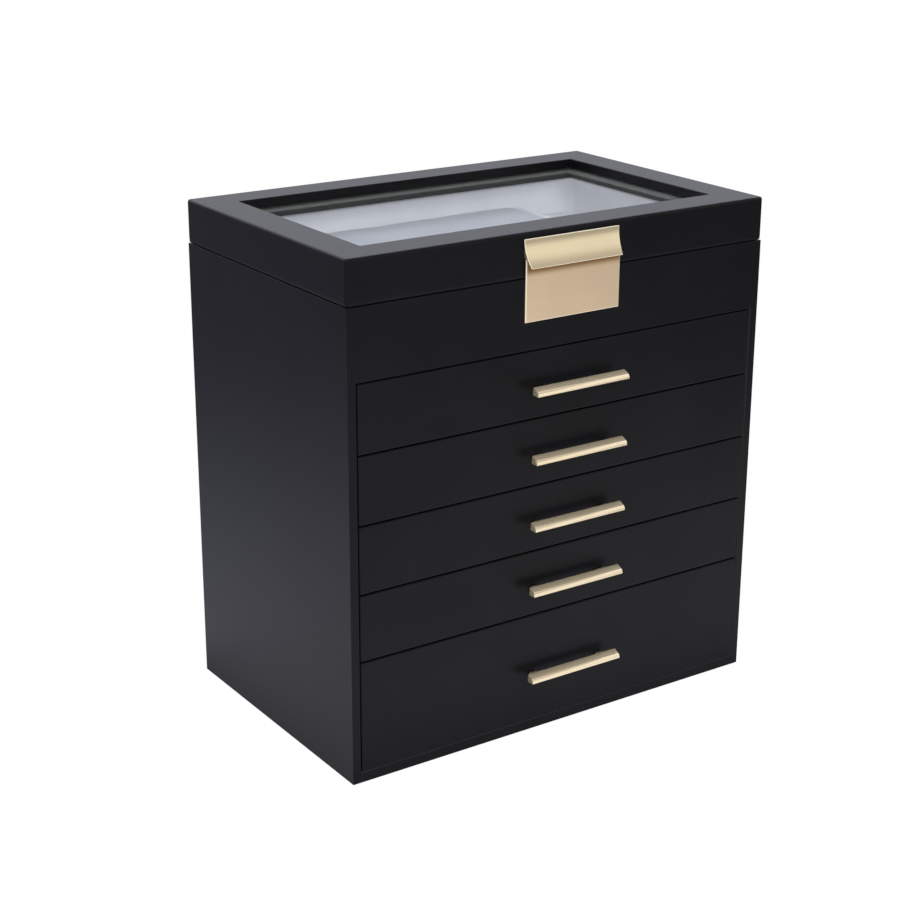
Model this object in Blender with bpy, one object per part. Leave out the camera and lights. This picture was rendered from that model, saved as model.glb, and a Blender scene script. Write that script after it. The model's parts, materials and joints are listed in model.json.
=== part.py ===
"""Tabletop jewellery chest: a leatherette-wrapped case with a glass-topped hinged lid
and five full-width drawers, each with a gold bar handle.

Metres, +Z up, front towards -Y. The origin is the centre of the face that the chest
rests on. Pieces that touch on the real chest keep GAP between their meshes.
"""
import math

import bmesh
import bpy
from mathutils import Matrix, Vector

# ---------------------------------------------------------------- overall size
WIDTH = 0.280
DEPTH = 0.175
HEIGHT = 0.295
GAP = 0.0003                       # between pieces that touch
HALF_W = WIDTH / 2
HALF_D = DEPTH / 2
FRONT = -HALF_D

# ---------------------------------------------------------------- case
SEAM = 0.2698                      # height of the parting line under the lid
SEAM_GAP = 0.0004
CASE_TOP = SEAM - SEAM_GAP / 2
WALL = 0.0050                      # wrapped wall, as seen at the front edges and the rim
WRAP = 0.0006                      # leatherette sheet
WRAP_CORNER = 0.0015
TURN_IN = 0.0004                   # room for the sheet where it folds into an opening
BOARD_OUT = WRAP + GAP             # from the outer face to the board behind the sheet
BASE_T = 0.0060
FASCIA_FOOT = 0.2295               # underside of the band above the drawers
FLOOR_T = 0.0025                   # floor of the top compartment
SHELF_T = 0.0024

# ---------------------------------------------------------------- drawers
DRAWERS = 5
TOP_GAP_Z = 0.2290                 # centre of the gap above drawer 1
PITCH = 0.0392                     # from one gap to the next, drawers 1 to 4
FOOT_GAP_Z = 0.0064                # centre of the gap under drawer 5
FRONT_GAP = 0.0007
SIDE_GAP = 0.0008
FRONT_T = 0.0060
FRONT_EDGE = 0.0008                # rounding where the sheet folds round a front
TRAY_SIDE_GAP = 0.0010
TRAY_DEPTH = 0.1600
TRAY_WALL = 0.0035
TRAY_FLOOR = 0.0025
TRAY_LOWER = 0.0055                # tray rim below the top of its front
DIVIDER = 0.0030
TRAY_GRIDS = ((4, 2), (4, 1), (3, 1), (2, 1), (1, 1))

# ---------------------------------------------------------------- gold fittings
HANDLE_X = 0.0046                  # the fittings sit a little right of centre
PLATE_X = 0.0026
PULL_X = 0.0014
HANDLE_LEN = 0.0630
HANDLE_BACK = 0.0060               # from the drawer's face to the bar's back
HANDLE_NOSE = 0.0113               # reach of the bar's front
HANDLE_H = 0.0048
HANDLE_BROW = 0.0019               # fall of the top face from its back to its front edge
HANDLE_BROW_IN = 0.0008            # that edge, behind the front
HANDLE_UNDER = 0.0006              # chamfer under the front
HANDLE_DROP = 0.0012               # bar centre below the middle of a drawer front
HANDLE_DROP_TALL = 0.0024          # the same on the tall bottom drawer
FOOT_SPACING = 0.0480
FOOT_W = 0.0050
FOOT_H = 0.0040
FOOT_RAKE = 0.0020                 # a foot's fall from the bar to the drawer
FOOT_SCREW_DROP = 0.0020           # screw below the bar's centre
PULL_LEN = 0.0638
PULL_TAPER = 0.0012                # how far each end is drawn in at the foot
PULL_TOP = 0.2915
PULL_FOOT = 0.2763
PULL_ROOT = 0.0012                 # reach of the pull's outer face at its top edge
PULL_REACH = 0.0068                # and at its foot
PULL_T = 0.0010
PULL_CURVE = 2.2                   # how late the flare starts, as a power of the drop
PLATE_LEN = 0.0638
PLATE_FOOT = 0.2456
PLATE_TOP = 0.2806
PLATE_T = 0.0011
MAGNET_R = 0.0050                  # in the front rail, behind the clasp plate
MAGNET_T = 0.0020

# ---------------------------------------------------------------- lid
LID_FOOT = SEAM + SEAM_GAP / 2
LID_EDGE = 0.0015
LID_CORNER = 0.0018
ROLL_IN = 0.0004                   # roll of the lid's lower outer edge, inwards
ROLL_UP = 0.0030                   # and upwards
FRAME_W = 0.0220                   # width of the frame round the window
LIP_T = 0.0057                     # frame lip above the glass
GLASS_LAP = 0.0050                 # how far the glass runs under the lip
GLASS_T = 0.0020
RETAINER_W = 0.0080                # how far the retainer shows inside the window
FRAME_T = 0.0120                   # full thickness of the frame board
PLAY = 0.0004                      # round the glass in its rebate

# ---------------------------------------------------------------- top compartment
LINER_T = 0.0018
COLLAR = 0.0070                    # liner walls above the case rim, inside the closed lid
DIVIDER_X = 0.0850
DIVIDER_TOP = 0.2640
RING_PAD_TOP = 0.2674
WATCH_PAD_TOP = 0.2600
PAD_PLAY = 0.0006
PAD_EDGE = 0.0020

# ---------------------------------------------------------------- hinges
HINGE_X = 0.0850                   # hinge centres either side of the middle
HINGE_LEN = 0.0300
LEAF_T = 0.0012
LEAF_REACH = 0.0140
BARREL_R = 0.0023
PIN_R = 0.0009
PIN_PLAY = 0.0003
HINGE_Y = HALF_D + GAP + BARREL_R
KNUCKLE = 0.0098                   # length of the middle knuckle
SCREW_X = 0.0095                   # screw centres either side of a hinge's middle
SCREW_Z = 0.0086                   # and away from its axis
SCREW_R = 0.0008
SCREW_HEAD_R = 0.0021
SCREW_HEAD_H = 0.0009
SCREW_DEPTH = 0.0036
HANDLE_SCREW_R = 0.0010
HANDLE_SCREW_HEAD_R = 0.0025
HANDLE_SCREW_HEAD_H = 0.0014
HOLE_PLAY = 0.0003

# colour, roughness, metallic
FINISHES = {
    "leatherette": ((0.020, 0.020, 0.023), 0.40, 0.0),
    "velvet": ((0.520, 0.540, 0.600), 0.95, 0.0),
    "board": ((0.300, 0.230, 0.160), 0.80, 0.0),
    "gold": ((0.830, 0.640, 0.380), 0.28, 1.0),
    "glass": ((0.800, 0.900, 0.870), 0.03, 0.0),
    "black_frame": ((0.025, 0.025, 0.025), 0.50, 0.0),
    "steel": ((0.560, 0.570, 0.580), 0.35, 1.0),
    "magnet": ((0.450, 0.460, 0.470), 0.30, 1.0),
}


# ================================================================ modelling helpers
def clear_scene():
    for thing in list(bpy.data.objects):
        bpy.data.objects.remove(thing, do_unlink=True)


def finish(name, slot):
    """One Principled material per piece, in its slot's colour."""
    colour, roughness, metallic = FINISHES[slot]
    material = bpy.data.materials.new(name)
    material.use_nodes = True
    shader = material.node_tree.nodes["Principled BSDF"]
    shader.inputs["Base Color"].default_value = (*colour, 1.0)
    shader.inputs["Roughness"].default_value = roughness
    shader.inputs["Metallic"].default_value = metallic
    return material


def pivot(name, place):
    """An empty on a joint's axis, which holds the pieces that move with it."""
    empty = bpy.data.objects.new(name, None)
    empty.location = place
    empty.empty_display_size = 0.01
    bpy.context.collection.objects.link(empty)
    return empty


def piece(name, bm, slot=None, holder=None, smooth=False):
    """Turn a bmesh into an object; without a slot it is a cutter or a joined shape."""
    bmesh.ops.recalc_face_normals(bm, faces=bm.faces[:])
    mesh = bpy.data.meshes.new(name)
    bm.to_mesh(mesh)
    bm.free()
    obj = bpy.data.objects.new(name, mesh)
    bpy.context.collection.objects.link(obj)
    if smooth:
        mesh.shade_smooth()
        mesh.set_sharp_from_angle(angle=math.radians(35))
    if slot is None:
        obj.hide_render = True
        obj.display_type = "WIRE"
    else:
        mesh.materials.append(finish(name, slot))
    if holder is not None:
        obj.parent = holder
        obj.matrix_parent_inverse = Matrix.Translation(-holder.location)
    return obj


def add_box(bm, low, high):
    low, high = Vector(low), Vector(high)
    place = Matrix.Translation((low + high) / 2) @ Matrix.Diagonal((*(high - low), 1.0))
    return bmesh.ops.create_cube(bm, size=1.0, matrix=place)["verts"]


def add_rod(bm, start, end, radius, sides=12):
    """A closed cylinder from start to end."""
    start, end = Vector(start), Vector(end)
    turn = (end - start).to_track_quat("Z", "Y").to_matrix().to_4x4()
    place = Matrix.Translation((start + end) / 2) @ turn
    bmesh.ops.create_cone(bm, cap_ends=True, segments=sides, radius1=radius, radius2=radius,
                          depth=(end - start).length, matrix=place)


def box_mesh(low, high, edge=0.0, segments=1, upright_only=False):
    """A box whose edges, or only its upright edges, are rounded by edge."""
    bm = bmesh.new()
    add_box(bm, low, high)
    if edge:
        chosen = []
        for line in bm.edges:
            start, end = line.verts
            level = abs(start.co.z - end.co.z) < 1e-7
            if not (upright_only and level):
                chosen.append(line)
        bmesh.ops.bevel(bm, geom=chosen, offset=edge, segments=segments, profile=0.5,
                        affect="EDGES", clamp_overlap=True)
    return bm


def prism_mesh(outline, axis, start, end):
    """Extrude an outline along an axis: (y, z) pairs along X or (x, z) pairs along Y."""
    bm = bmesh.new()
    ring = []
    for first, second in outline:
        point = (start, first, second) if axis == "X" else (first, start, second)
        ring.append(bm.verts.new(point))
    face = bm.faces.new(ring)
    grown = bmesh.ops.extrude_face_region(bm, geom=[face])["geom"]
    step = (end - start, 0, 0) if axis == "X" else (0, end - start, 0)
    moved = [item for item in grown if isinstance(item, bmesh.types.BMVert)]
    bmesh.ops.translate(bm, vec=step, verts=moved)
    return bm


def combine(target, helper, operation="DIFFERENCE"):
    step = target.modifiers.new(helper.name, "BOOLEAN")
    step.operation = operation
    step.solver = "EXACT"
    step.object = helper


def cut_boxes(target, boxes, label):
    """Cut boxes that don't overlap each other out of a piece."""
    bm = bmesh.new()
    for low, high in boxes:
        add_box(bm, low, high)
    combine(target, piece(f"{target.name}_{label}_cutter", bm))


def cut_rods(target, rods, label):
    """Cut round holes, given as (start, end, radius), out of a piece."""
    bm = bmesh.new()
    for start, end, radius in rods:
        add_rod(bm, start, end, radius)
    combine(target, piece(f"{target.name}_{label}_cutter", bm))


def soften(target, width, segments=1):
    """Break the square edges of a piece."""
    step = target.modifiers.new("soft_edges", "BEVEL")
    step.width = width
    step.segments = segments
    step.limit_method = "ANGLE"
    step.angle_limit = math.radians(50)


# ================================================================ places worked out once
def gap_heights():
    """Centre heights of the gaps, from the one above drawer 1 to the one under the last."""
    heights = [TOP_GAP_Z - PITCH * index for index in range(DRAWERS)]
    return heights + [FOOT_GAP_Z]


def hinge_centres():
    return {"left": -HINGE_X, "right": HINGE_X}


def hinge_screws(centre, side):
    """Screw axes (x, z) of one leaf: side is -1 on the case and +1 on the lid."""
    return [(centre + sign * SCREW_X, SEAM + side * SCREW_Z) for sign in (-1, 1)]


def screw_holes(side):
    """Clearance holes for a hinge side's screws through what they pass."""
    holes = []
    for centre in hinge_centres().values():
        for x, z in hinge_screws(centre, side):
            inner = HALF_D - SCREW_DEPTH - HOLE_PLAY
            holes.append(((x, inner, z), (x, HALF_D + 0.01, z), SCREW_R + HOLE_PLAY))
    return holes


BOARD_W = HALF_W - BOARD_OUT       # outer faces of the boards, behind the sheet
BOARD_D = HALF_D - BOARD_OUT
INNER_W = HALF_W - WALL + TURN_IN  # inner faces of the boards
INNER_D = HALF_D - WALL + TURN_IN
BOARD_TOP = CASE_TOP - WRAP - GAP
FLOOR_FOOT = FASCIA_FOOT + GAP
FLOOR_TOP = FLOOR_FOOT + FLOOR_T


# ================================================================ case
def build_case_wrap():
    """The leatherette sheet: round all four sides, over the rim, open for the drawers."""
    outer = box_mesh((-HALF_W, FRONT, GAP), (HALF_W, HALF_D, CASE_TOP), WRAP_CORNER, 4,
                     upright_only=True)
    wrap = piece("case_wrap", outer, "leatherette", smooth=True)
    inner = box_mesh((-HALF_W + WRAP, FRONT + WRAP, -WRAP),
                     (HALF_W - WRAP, HALF_D - WRAP, CASE_TOP - WRAP), WRAP_CORNER - WRAP, 4,
                     upright_only=True)
    combine(wrap, piece("case_wrap_inner_cutter", inner))
    clear_w, clear_d = HALF_W - WALL, HALF_D - WALL
    cut_boxes(wrap, [((-clear_w, -clear_d, CASE_TOP - 0.01), (clear_w, clear_d, CASE_TOP + 0.01)),
                     ((-clear_w, FRONT - 0.01, BASE_T), (clear_w, FRONT + 0.003, FASCIA_FOOT))],
              "openings")
    cut_rods(wrap, screw_holes(-1), "screws")


def build_case_boards():
    reach = INNER_W - GAP
    for name, side in (("left_side", -1), ("right_side", 1)):
        ends = sorted((side * BOARD_W, side * INNER_W))
        piece(name, box_mesh((ends[0], -BOARD_D, GAP), (ends[1], BOARD_D, BOARD_TOP), 0.0004),
              "leatherette")
    piece("base_panel", box_mesh((-reach, -BOARD_D, 0), (reach, BOARD_D, BASE_T), 0.0003),
          "leatherette")
    back = piece("back_panel", box_mesh((-reach, INNER_D, BASE_T + GAP),
                                        (reach, BOARD_D, BOARD_TOP), 0.0003), "leatherette")
    cut_rods(back, screw_holes(-1), "screws")
    rail = piece("front_rail", box_mesh((-reach, -BOARD_D, FASCIA_FOOT),
                                        (reach, -INNER_D, BOARD_TOP), 0.0003), "leatherette")
    level = (PLATE_FOOT + SEAM) / 2
    cut_rods(rail, [((PLATE_X, -BOARD_D - 0.01, level), (PLATE_X, -BOARD_D + MAGNET_T + 2 * GAP, level),
                     MAGNET_R + GAP)], "magnet")
    bm = bmesh.new()
    add_rod(bm, (PLATE_X, -BOARD_D + GAP, level), (PLATE_X, -BOARD_D + GAP + MAGNET_T, level),
            MAGNET_R)
    piece("case_magnet", bm, "magnet", smooth=True)


def build_case_shelves():
    reach = INNER_W - GAP
    shelf_front = FRONT + FRONT_T + GAP
    piece("compartment_floor", box_mesh((-reach, -INNER_D + GAP, FLOOR_FOOT),
                                        (reach, INNER_D - GAP, FLOOR_TOP), 0.0003), "board")
    for number, level in enumerate(gap_heights()[1:-1], start=1):
        piece(f"shelf_{number}", box_mesh((-reach, shelf_front, level - SHELF_T / 2),
                                          (reach, INNER_D - GAP, level + SHELF_T / 2), 0.0003),
              "board")


def build_top_compartment():
    """The lined walls under the lid, which rise as a collar that locates it, a low divider
    across them and a pad either side of it."""
    out_w, out_d = INNER_W - 2 * GAP - TURN_IN, INNER_D - 2 * GAP - TURN_IN
    in_w, in_d, foot = out_w - LINER_T, out_d - LINER_T, FLOOR_TOP + GAP
    rim = CASE_TOP + COLLAR
    liner = piece("top_liner", box_mesh((-out_w, -out_d, foot), (out_w, out_d, rim), 0.0006),
                  "velvet")
    cut_boxes(liner, [((-in_w, -in_d, foot - 0.01), (in_w, in_d, rim + 0.01))], "room")
    soften(liner, 0.0004)
    left, right = DIVIDER_X - DIVIDER / 2, DIVIDER_X + DIVIDER / 2
    piece("tray_divider", box_mesh((left, -in_d + GAP, foot), (right, in_d - GAP, DIVIDER_TOP),
                                   0.0005), "velvet")
    for name, (start, end), top in (("ring_pad", (-in_w, left), RING_PAD_TOP),
                                    ("watch_pad", (right, in_w), WATCH_PAD_TOP)):
        piece(name, box_mesh((start + PAD_PLAY, -in_d + PAD_PLAY, foot),
                             (end - PAD_PLAY, in_d - PAD_PLAY, top), PAD_EDGE, 3),
              "velvet", smooth=True)


# ================================================================ drawers
def handle_outline():
    """Bar section as (reach, drop): flat back and foot, sloping top, gently rounded front."""
    points = [(HANDLE_BACK, -HANDLE_H), (HANDLE_BACK, 0.0)]
    steps = 5
    for step in range(steps + 1):
        share = step / steps
        points.append((HANDLE_NOSE - HANDLE_BROW_IN * (1 - share) ** 2,
                       -HANDLE_BROW - (HANDLE_H - HANDLE_BROW - HANDLE_UNDER) * share))
    points.append((HANDLE_NOSE - HANDLE_UNDER, -HANDLE_H))
    return points


def build_handle(number, centre_z, holder):
    top = centre_z + HANDLE_H / 2
    outline = [(FRONT - reach, top + drop) for reach, drop in handle_outline()]
    bm = prism_mesh(outline, "X", HANDLE_X - HANDLE_LEN / 2, HANDLE_X + HANDLE_LEN / 2)
    ends = [line for line in bm.edges if abs(line.verts[0].co.x - line.verts[1].co.x) < 1e-7]
    bmesh.ops.bevel(bm, geom=ends, offset=0.0004, segments=2, profile=0.5, affect="EDGES")
    handle = piece(f"drawer_{number}_handle", bm, "gold", holder, smooth=True)
    for side, x in zip(("left", "right"), foot_places()):
        inside, outside = FRONT - HANDLE_BACK - 0.0010, FRONT - GAP
        level = top - 0.0004
        foot = [(inside, level), (outside, level - FOOT_RAKE),
                (outside, level - FOOT_RAKE - FOOT_H), (inside, level - FOOT_H)]
        shape = prism_mesh(foot, "X", x - FOOT_W / 2, x + FOOT_W / 2)
        combine(handle, piece(f"{handle.name}_{side}_foot", shape), "UNION")
    screw_z = centre_z - FOOT_SCREW_DROP
    cut_rods(handle, [((x, FRONT + 0.001, screw_z), (x, FRONT - 0.0046, screw_z),
                       HANDLE_SCREW_R + HOLE_PLAY) for x in foot_places()], "threads")


def foot_places():
    return [HANDLE_X + sign * FOOT_SPACING / 2 for sign in (-1, 1)]


def build_handle_screws(number, screw_z, holder):
    """Flat-headed screws from inside the drawer front into the handle's feet."""
    back = FRONT + FRONT_T
    for side, x in zip(("left", "right"), foot_places()):
        bm = bmesh.new()
        head = back - HANDLE_SCREW_HEAD_H
        outline = [(0.0, FRONT - 0.0042), (HANDLE_SCREW_R, FRONT - 0.0040),
                   (HANDLE_SCREW_R, head), (HANDLE_SCREW_HEAD_R, head),
                   (HANDLE_SCREW_HEAD_R, back - GAP), (0.0, back - GAP)]
        spin_outline(bm, outline, Vector((x, 0, screw_z)))
        piece(f"drawer_{number}_screw_{side}", bm, "steel", holder, smooth=True)


def spin_outline(bm, outline, centre, sides=12):
    """Turn an outline of (radius, y) about an axis along Y through centre."""
    verts = [bm.verts.new((centre.x + radius, y, centre.z)) for radius, y in outline]
    lines = [bm.edges.new(pair) for pair in zip(verts, verts[1:])]
    bmesh.ops.spin(bm, geom=verts + lines, cent=centre, axis=(0, 1, 0),
                   angle=math.tau, steps=sides, use_merge=True)
    bmesh.ops.remove_doubles(bm, verts=bm.verts[:], dist=1e-6)


def build_tray(number, grid, foot, rim, holder):
    """The drawer's box, with its dividers standing in one piece with it."""
    half = HALF_W - WALL - TRAY_SIDE_GAP
    near = FRONT + FRONT_T + GAP
    far = near + TRAY_DEPTH
    tray = piece(f"drawer_{number}_tray", box_mesh((-half, near, foot), (half, far, rim)),
                 "board", holder)
    columns, rows = grid
    wide = (2 * half - 2 * TRAY_WALL - (columns - 1) * DIVIDER) / columns
    deep = (TRAY_DEPTH - 2 * TRAY_WALL - (rows - 1) * DIVIDER) / rows
    rooms = []
    for column in range(columns):
        for row in range(rows):
            x = -half + TRAY_WALL + column * (wide + DIVIDER)
            y = near + TRAY_WALL + row * (deep + DIVIDER)
            rooms.append(((x, y, foot + TRAY_FLOOR), (x + wide, y + deep, rim + 0.01)))
    cut_boxes(tray, rooms, "rooms")
    soften(tray, 0.0005)


def build_drawers():
    gaps = gap_heights()
    half = HALF_W - WALL - SIDE_GAP
    for number in range(1, DRAWERS + 1):
        top = gaps[number - 1] - FRONT_GAP / 2
        foot = gaps[number] + FRONT_GAP / 2
        runner = pivot(f"drawer_{number}_runner", (0, FRONT, (top + foot) / 2))
        tall = number == DRAWERS
        centre_z = (top + foot) / 2 - (HANDLE_DROP_TALL if tall else HANDLE_DROP)
        front = piece(f"drawer_{number}_front",
                      box_mesh((-half, FRONT, foot), (half, FRONT + FRONT_T, top), FRONT_EDGE, 3),
                      "leatherette", runner, smooth=True)
        back = FRONT + FRONT_T
        seat = back - HANDLE_SCREW_HEAD_H - HOLE_PLAY
        screw_z = centre_z - FOOT_SCREW_DROP
        for label, start, end, radius in (
                ("screws", FRONT - 0.01, back - 0.001, HANDLE_SCREW_R),
                ("seats", seat, back + 0.01, HANDLE_SCREW_HEAD_R)):
            cut_rods(front, [((x, start, screw_z), (x, end, screw_z), radius + HOLE_PLAY)
                             for x in foot_places()], label)
        build_handle(number, centre_z, runner)
        build_handle_screws(number, screw_z, runner)
        rest = BASE_T if tall else gaps[number] + SHELF_T / 2
        build_tray(number, TRAY_GRIDS[number - 1], rest + GAP, top - TRAY_LOWER, runner)


# ================================================================ lid
def ring_cut(target, half_x, half_y, low, high, label):
    cut_boxes(target, [((-half_x, -half_y, low), (half_x, half_y, high))], label)


def corner_ring(bm, inset, z, steps=4):
    """A ring of points round the chest's plan, moved in by inset, with round corners."""
    radius = LID_CORNER - inset
    ring = []
    for quarter in range(4):
        sign_x = 1 if quarter in (0, 3) else -1
        sign_y = 1 if quarter in (0, 1) else -1
        for step in range(steps + 1):
            angle = math.radians(90 * (quarter + step / steps))
            ring.append(bm.verts.new((sign_x * (HALF_W - LID_CORNER) + radius * math.cos(angle),
                                      sign_y * (HALF_D - LID_CORNER) + radius * math.sin(angle),
                                      z)))
    return ring


def lid_block():
    """The lid's outer shape: rolled in at its foot and rounded over at its top."""
    turns = [math.radians(angle) for angle in (0, 30, 60, 90)]
    levels = [(ROLL_IN * (1 - math.sin(turn)), LID_FOOT + ROLL_UP * (1 - math.cos(turn)))
              for turn in turns]
    levels += [(LID_EDGE * (1 - math.cos(turn)), HEIGHT - LID_EDGE * (1 - math.sin(turn)))
               for turn in turns]
    bm = bmesh.new()
    rings = [corner_ring(bm, inset, z) for inset, z in levels]
    for lower, upper in zip(rings, rings[1:]):
        for index in range(len(lower)):
            after = (index + 1) % len(lower)
            bm.faces.new((lower[index], lower[after], upper[after], upper[index]))
    bm.faces.new(reversed(rings[0]))
    bm.faces.new(rings[-1])
    return bm


def build_lid_frame(holder):
    """Wrapped frame: walls down to the seam, a window above and a rebate for the glass."""
    frame = piece("lid_frame", lid_block(), "leatherette", holder, smooth=True)
    board_foot = HEIGHT - FRAME_T
    ring_cut(frame, HALF_W - WALL, HALF_D - WALL, LID_FOOT - 0.01, board_foot, "hollow")
    window_x, window_y = HALF_W - FRAME_W, HALF_D - FRAME_W
    ring_cut(frame, window_x + GLASS_LAP + PLAY, window_y + GLASS_LAP + PLAY,
             board_foot - 0.001, HEIGHT - LIP_T, "rebate")
    ring_cut(frame, window_x, window_y, HEIGHT - LIP_T - 0.001, HEIGHT + 0.01, "window")
    cut_rods(frame, screw_holes(1), "screws")
    soften(frame, 0.0004)


def build_glazing(holder):
    glass_x = HALF_W - FRAME_W + GLASS_LAP
    glass_y = HALF_D - FRAME_W + GLASS_LAP
    glass_top = HEIGHT - LIP_T - GAP
    glass_foot = glass_top - GLASS_T
    piece("lid_glass", box_mesh((-glass_x, -glass_y, glass_foot), (glass_x, glass_y, glass_top),
                                0.0003), "glass", holder)
    retainer = piece("glass_retainer",
                     box_mesh((-glass_x, -glass_y, HEIGHT - FRAME_T),
                              (glass_x, glass_y, glass_foot - GAP)), "black_frame", holder)
    ring_cut(retainer, HALF_W - FRAME_W - RETAINER_W, HALF_D - FRAME_W - RETAINER_W,
             HEIGHT - FRAME_T - 0.01, HEIGHT, "opening")
    soften(retainer, 0.0004)


def pull_flare(z):
    """0 at the pull's top and 1 at its foot, slow at first."""
    return max(0.0, (PULL_TOP - z) / (PULL_TOP - PULL_FOOT)) ** PULL_CURVE


def pull_reach(z):
    """How far the pull's outer face stands out at height z: upright at its top, flared below."""
    return PULL_ROOT + (PULL_REACH - PULL_ROOT) * pull_flare(z)


def build_lid_pull(holder):
    """A cast lip: a thick root on the lid's face that thins into a flared finger edge."""
    root_foot = PLATE_TOP + GAP
    steps = 12
    heights = [PULL_TOP - (PULL_TOP - PULL_FOOT) * index / steps for index in range(steps + 1)]
    outline = [(FRONT - GAP, PULL_TOP)]
    outline += [(FRONT - pull_reach(z), z) for z in heights]
    outline += [(FRONT - pull_reach(z) + PULL_T, z) for z in reversed(heights) if z < root_foot]
    outline.append((FRONT - GAP, root_foot))
    bm = prism_mesh(outline, "X", PULL_X - PULL_LEN / 2, PULL_X + PULL_LEN / 2)
    for vert in bm.verts:
        vert.co.x -= math.copysign(PULL_TAPER * pull_flare(vert.co.z), vert.co.x - PULL_X)
    piece("lid_pull", bm, "gold", holder, smooth=True)


def build_clasp_plate(holder):
    half = PLATE_LEN / 2
    low = (PLATE_X - half, FRONT - GAP - PLATE_T, PLATE_FOOT)
    high = (PLATE_X + half, FRONT - GAP, PLATE_TOP)
    bm = bmesh.new()
    add_box(bm, low, high)
    rim = [line for line in bm.edges if all(vert.co.y < FRONT - PLATE_T for vert in line.verts)]
    bmesh.ops.bevel(bm, geom=rim, offset=0.0005, segments=2, profile=0.5, affect="EDGES")
    piece("clasp_plate", bm, "gold", holder)


# ================================================================ hinges
def leaf_outline(centre, side, spans):
    """Leaf seen from behind as (x, z): a plate with a tab up to each of its knuckles."""
    far = SEAM + side * LEAF_REACH
    near = SEAM + side * (BARREL_R + GAP)
    tip = SEAM + side * GAP
    left, right = centre - HINGE_LEN / 2, centre + HINGE_LEN / 2
    points = [(left, far), (left, near)]
    for start, end in spans:
        if abs(centre + start - left) < 1e-7:
            points.pop()
            points.append((left, tip))
        else:
            points += [(centre + start, near), (centre + start, tip)]
        points.append((centre + end, tip))
        if abs(centre + end - right) > 1e-7:
            points.append((centre + end, near))
    if abs(points[-1][0] - right) > 1e-7:
        points.append((right, near))
    points.append((right, far))
    return points


def build_leaf(name, centre, side, spans, holder=None):
    near = HALF_D + GAP
    leaf = piece(name, prism_mesh(leaf_outline(centre, side, spans), "Y", near, near + LEAF_T),
                 "gold", holder, smooth=True)
    bm = bmesh.new()
    for start, end in spans:
        add_rod(bm, (centre + start, HINGE_Y, SEAM), (centre + end, HINGE_Y, SEAM), BARREL_R)
    combine(leaf, piece(f"{name}_knuckles", bm), "UNION")
    half = HINGE_LEN
    cut_rods(leaf, [((centre - half, HINGE_Y, SEAM), (centre + half, HINGE_Y, SEAM),
                     PIN_R + PIN_PLAY)], "pin")
    cut_rods(leaf, [((x, HALF_D - 0.01, z), (x, HALF_D + 0.01, z), SCREW_R + HOLE_PLAY)
                    for x, z in hinge_screws(centre, side)], "screws")


def build_hinge_screw(name, x, z, holder=None):
    """A small domed screw through a leaf into the board."""
    seat = HALF_D + GAP + LEAF_T + GAP
    outline = [(0.0, HALF_D - SCREW_DEPTH), (SCREW_R, HALF_D - SCREW_DEPTH + 0.0006),
               (SCREW_R, seat)]
    for step in range(3):
        angle = math.radians(30 * step)
        outline.append((SCREW_HEAD_R * math.cos(angle), seat + SCREW_HEAD_H * math.sin(angle)))
    outline.append((0.0, seat + SCREW_HEAD_H))
    bm = bmesh.new()
    spin_outline(bm, outline, Vector((x, 0, z)))
    piece(name, bm, "gold", holder, smooth=True)


def build_hinges(lid_pivot):
    outer, inner = HINGE_LEN / 2, KNUCKLE / 2
    case_spans = ((-outer, -inner - GAP), (inner + GAP, outer))
    lid_spans = ((-inner, inner),)
    for where, centre in hinge_centres().items():
        build_leaf(f"hinge_{where}_case_leaf", centre, -1, case_spans)
        build_leaf(f"hinge_{where}_lid_leaf", centre, 1, lid_spans, lid_pivot)
        bm = bmesh.new()
        add_rod(bm, (centre - outer - 0.0004, HINGE_Y, SEAM), (centre + outer + 0.0004, HINGE_Y, SEAM),
                PIN_R)
        piece(f"hinge_{where}_pin", bm, "steel", smooth=True)
        for side, body, holder in ((-1, "case", None), (1, "lid", lid_pivot)):
            for label, (x, z) in zip(("a", "b"), hinge_screws(centre, side)):
                build_hinge_screw(f"hinge_{where}_{body}_screw_{label}", x, z, holder)


def build_chest():
    clear_scene()
    build_case_wrap()
    build_case_boards()
    build_case_shelves()
    build_top_compartment()
    build_drawers()
    lid_pivot = pivot("lid_hinge_axis", (0, HINGE_Y, SEAM))
    build_lid_frame(lid_pivot)
    build_glazing(lid_pivot)
    build_lid_pull(lid_pivot)
    build_clasp_plate(lid_pivot)
    build_hinges(lid_pivot)


build_chest()
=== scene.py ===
"""Looks of the jewellery chest: leatherette, satin gold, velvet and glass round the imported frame."""
import json
import math

import bmesh
import bpy
from mathutils import Matrix, Vector


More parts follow.
